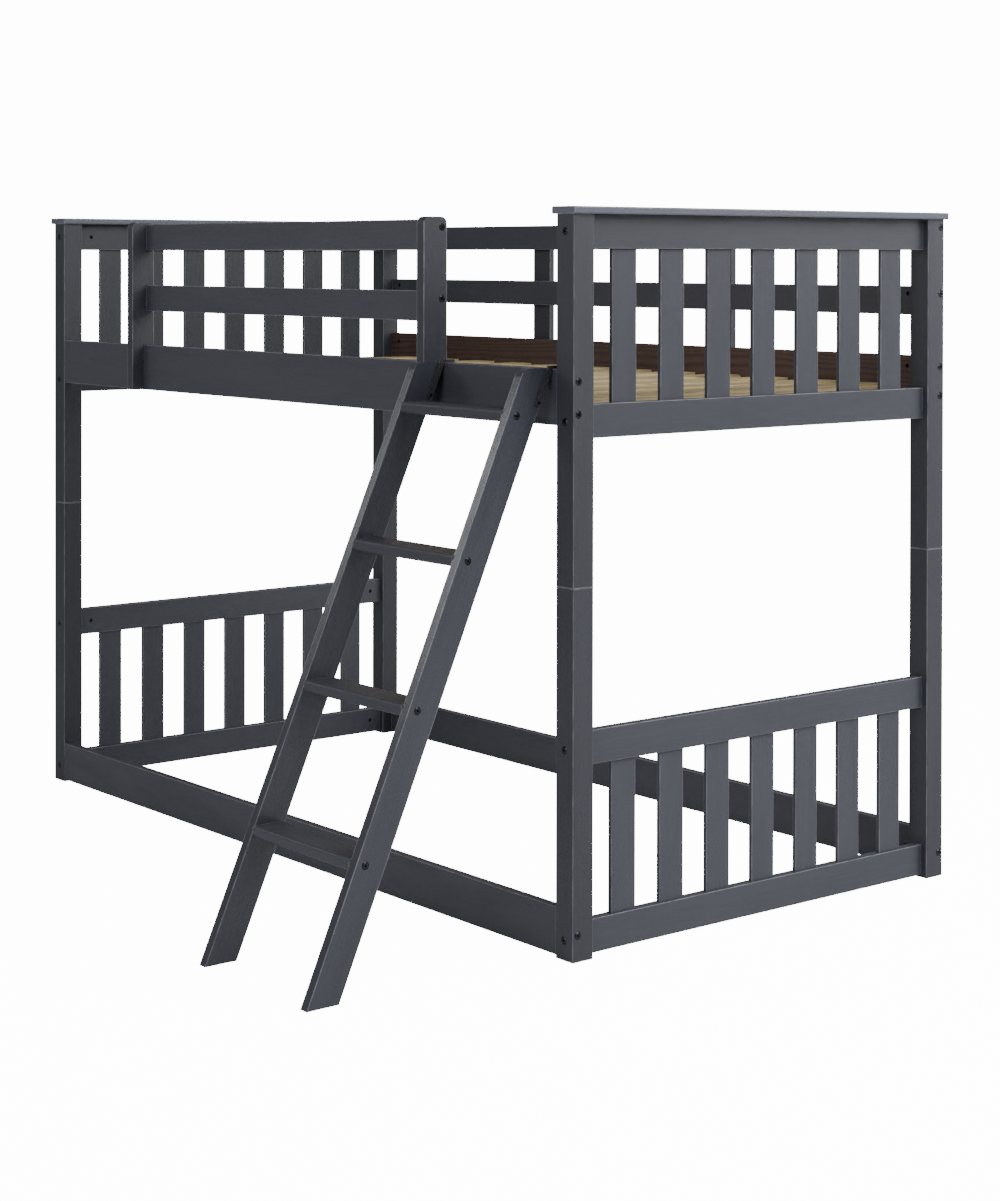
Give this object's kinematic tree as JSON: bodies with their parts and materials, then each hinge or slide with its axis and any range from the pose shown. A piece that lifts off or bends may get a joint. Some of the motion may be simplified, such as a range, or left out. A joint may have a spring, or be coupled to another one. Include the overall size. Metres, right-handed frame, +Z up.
{
  "type": "bunk bed with ladder",
  "caption": "Bunk bed of painted wood: two stacking units with slatted ends, guard rails and a pine slat deck above, and a leaning ladder that hooks over the side rail.",
  "frame": {"origin": "centre of the whole object's footprint, ladder included, at floor level", "axes": "+X along the bed's length, -Y towards the ladder's side, +Z up"},
  "size_m": [2.036, 1.5992, 1.4135],
  "materials": {
    "charcoal_paint": "semi-gloss paint over wood",
    "bare_pine": "bare, planed",
    "red_brown_wood": "thin dark coat over red-brown wood",
    "black_hardware": "black oxide",
    "bare_steel": "zinc plated"
  },
  "bodies": {
    "lower_unit": {"front_left_lower_post": "charcoal_paint", "front_right_lower_post": "charcoal_paint", "rear_left_lower_post": "charcoal_paint", "rear_right_lower_post": "charcoal_paint", "left_lower_bottom_rail": "charcoal_paint", "left_lower_top_rail": "charcoal_paint", "right_lower_bottom_rail": "charcoal_paint", "right_lower_top_rail": "charcoal_paint", "left_lower_end_slats": "charcoal_paint", "right_lower_end_slats": "charcoal_paint", "front_lower_side_rail": "charcoal_paint", "rear_lower_side_rail": "charcoal_paint", "post_pins": "bare_steel", "lower_frame_bolts": "black_hardware", "lower_barrel_nuts": "black_hardware"},
    "upper_unit": {"front_left_upper_post": "charcoal_paint", "front_right_upper_post": "charcoal_paint", "rear_left_upper_post": "charcoal_paint", "rear_right_upper_post": "charcoal_paint", "left_upper_bottom_rail": "charcoal_paint", "left_upper_top_rail": "charcoal_paint", "right_upper_bottom_rail": "charcoal_paint", "right_upper_top_rail": "charcoal_paint", "left_upper_end_slats": "charcoal_paint", "right_upper_end_slats": "charcoal_paint", "left_cap_board": "charcoal_paint", "right_cap_board": "charcoal_paint", "front_upper_side_rail": "charcoal_paint", "rear_upper_side_rail": "red_brown_wood", "ledger_strips": "bare_pine", "bed_slat_1": "bare_pine", "bed_slat_2": "bare_pine", "bed_slat_3": "bare_pine", "bed_slat_4": "bare_pine", "bed_slat_5": "bare_pine", "bed_slat_6": "bare_pine", "bed_slat_7": "bare_pine", "bed_slat_8": "bare_pine", "bed_slat_9": "bare_pine", "bed_slat_10": "bare_pine", "bed_slat_11": "bare_pine", "bed_slat_12": "bare_pine", "left_guard_post": "charcoal_paint", "right_guard_post": "charcoal_paint", "front_guard_top_rail": "charcoal_paint", "front_guard_middle_rail": "charcoal_paint", "rear_guard_top_rail": "charcoal_paint", "rear_guard_middle_rail": "charcoal_paint", "rear_battens": "charcoal_paint", "upper_frame_bolts": "black_hardware", "upper_barrel_nuts": "black_hardware", "deck_screws": "bare_steel"},
    "ladder": {"left_ladder_stile": "charcoal_paint", "right_ladder_stile": "charcoal_paint", "ladder_tread_1": "charcoal_paint", "ladder_tread_2": "charcoal_paint", "ladder_tread_3": "charcoal_paint", "ladder_tread_4": "charcoal_paint", "ladder_hooks": "black_hardware", "ladder_bolts": "black_hardware"}
  },
  "joints": [
    {"name": "upper_unit_lift", "type": "slide", "parent": "lower_unit", "child": "upper_unit", "axis": [0, 0, 1], "range_m": [0, 0.06]},
    {"name": "ladder_lift", "type": "slide", "parent": "upper_unit", "child": "ladder", "axis": [0, 0, 1], "range_m": [0, 0.06]}
  ]
}
